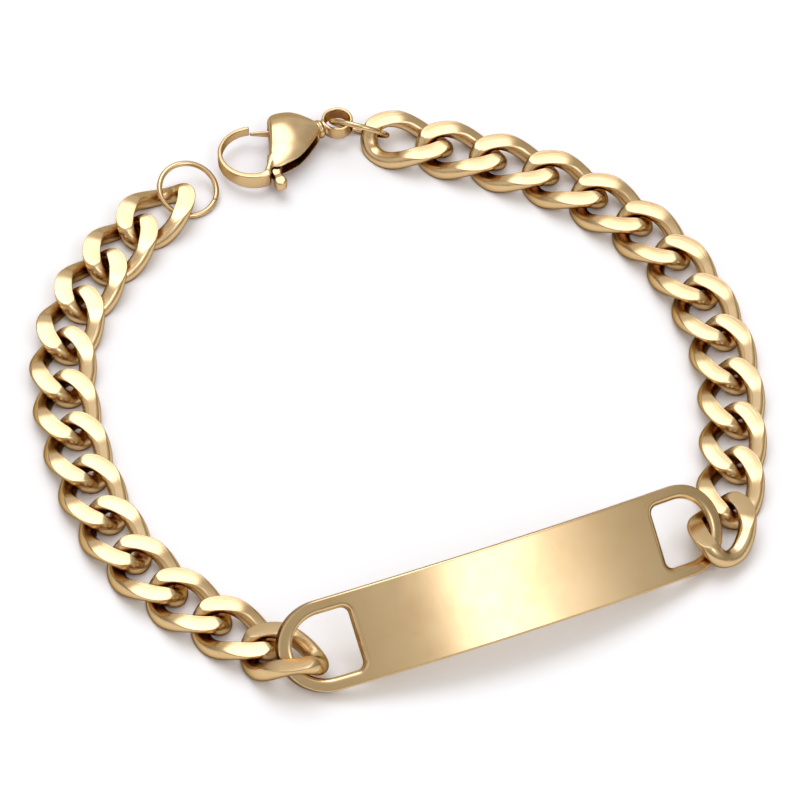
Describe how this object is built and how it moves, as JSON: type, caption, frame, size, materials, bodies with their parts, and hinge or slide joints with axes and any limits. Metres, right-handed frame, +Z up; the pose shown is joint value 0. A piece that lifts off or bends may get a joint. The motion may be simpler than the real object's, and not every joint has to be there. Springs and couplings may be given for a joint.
{
  "type": "id bracelet",
  "caption": "Identification bracelet: bowed oval plate with a D slot at each end, filed curb chain on both sides, jump rings and a small lobster clasp, lying unfastened.",
  "frame": {"origin": "middle of the bracelet's outline, on the surface that it lies on", "axes": "+X along the plate, +Y from the plate towards the clasp, +Z up"},
  "size_m": [0.064, 0.0652, 0.0088],
  "materials": {
    "gold_links": "polished, filed faces lightly brushed",
    "gold_plate": "polished, fine scratches",
    "gold_ring": "polished",
    "gold_clasp": "polished",
    "steel_pin": "plain"
  },
  "bodies": {
    "bracelet": {"id_plate": "gold_plate", "left_link_01": "gold_links", "left_link_02": "gold_links", "left_link_03": "gold_links", "left_link_04": "gold_links", "left_link_05": "gold_links", "left_link_06": "gold_links", "left_link_07": "gold_links", "left_link_08": "gold_links", "left_link_09": "gold_links", "left_link_10": "gold_links", "left_link_11": "gold_links", "left_link_12": "gold_links", "left_link_13": "gold_links", "right_link_01": "gold_links", "right_link_02": "gold_links", "right_link_03": "gold_links", "right_link_04": "gold_links", "right_link_05": "gold_links", "right_link_06": "gold_links", "right_link_07": "gold_links", "right_link_08": "gold_links", "right_link_09": "gold_links", "right_link_10": "gold_links", "right_link_11": "gold_links", "right_link_12": "gold_links", "right_link_13": "gold_links", "catch_ring": "gold_ring", "clasp_ring": "gold_ring", "clasp_body": "gold_clasp", "lever_pin": "steel_pin"},
    "clasp_lever": {"clasp_lever": "gold_clasp"}
  },
  "joints": [
    {"name": "lever_hinge", "type": "hinge", "parent": "bracelet", "child": "clasp_lever", "pos_m": [0.00157, 0.02962, 0.0015], "axis": [0, 0, 1], "range_deg": [0, 25], "stiffness_Nm_per_rad": 0.002}
  ]
}
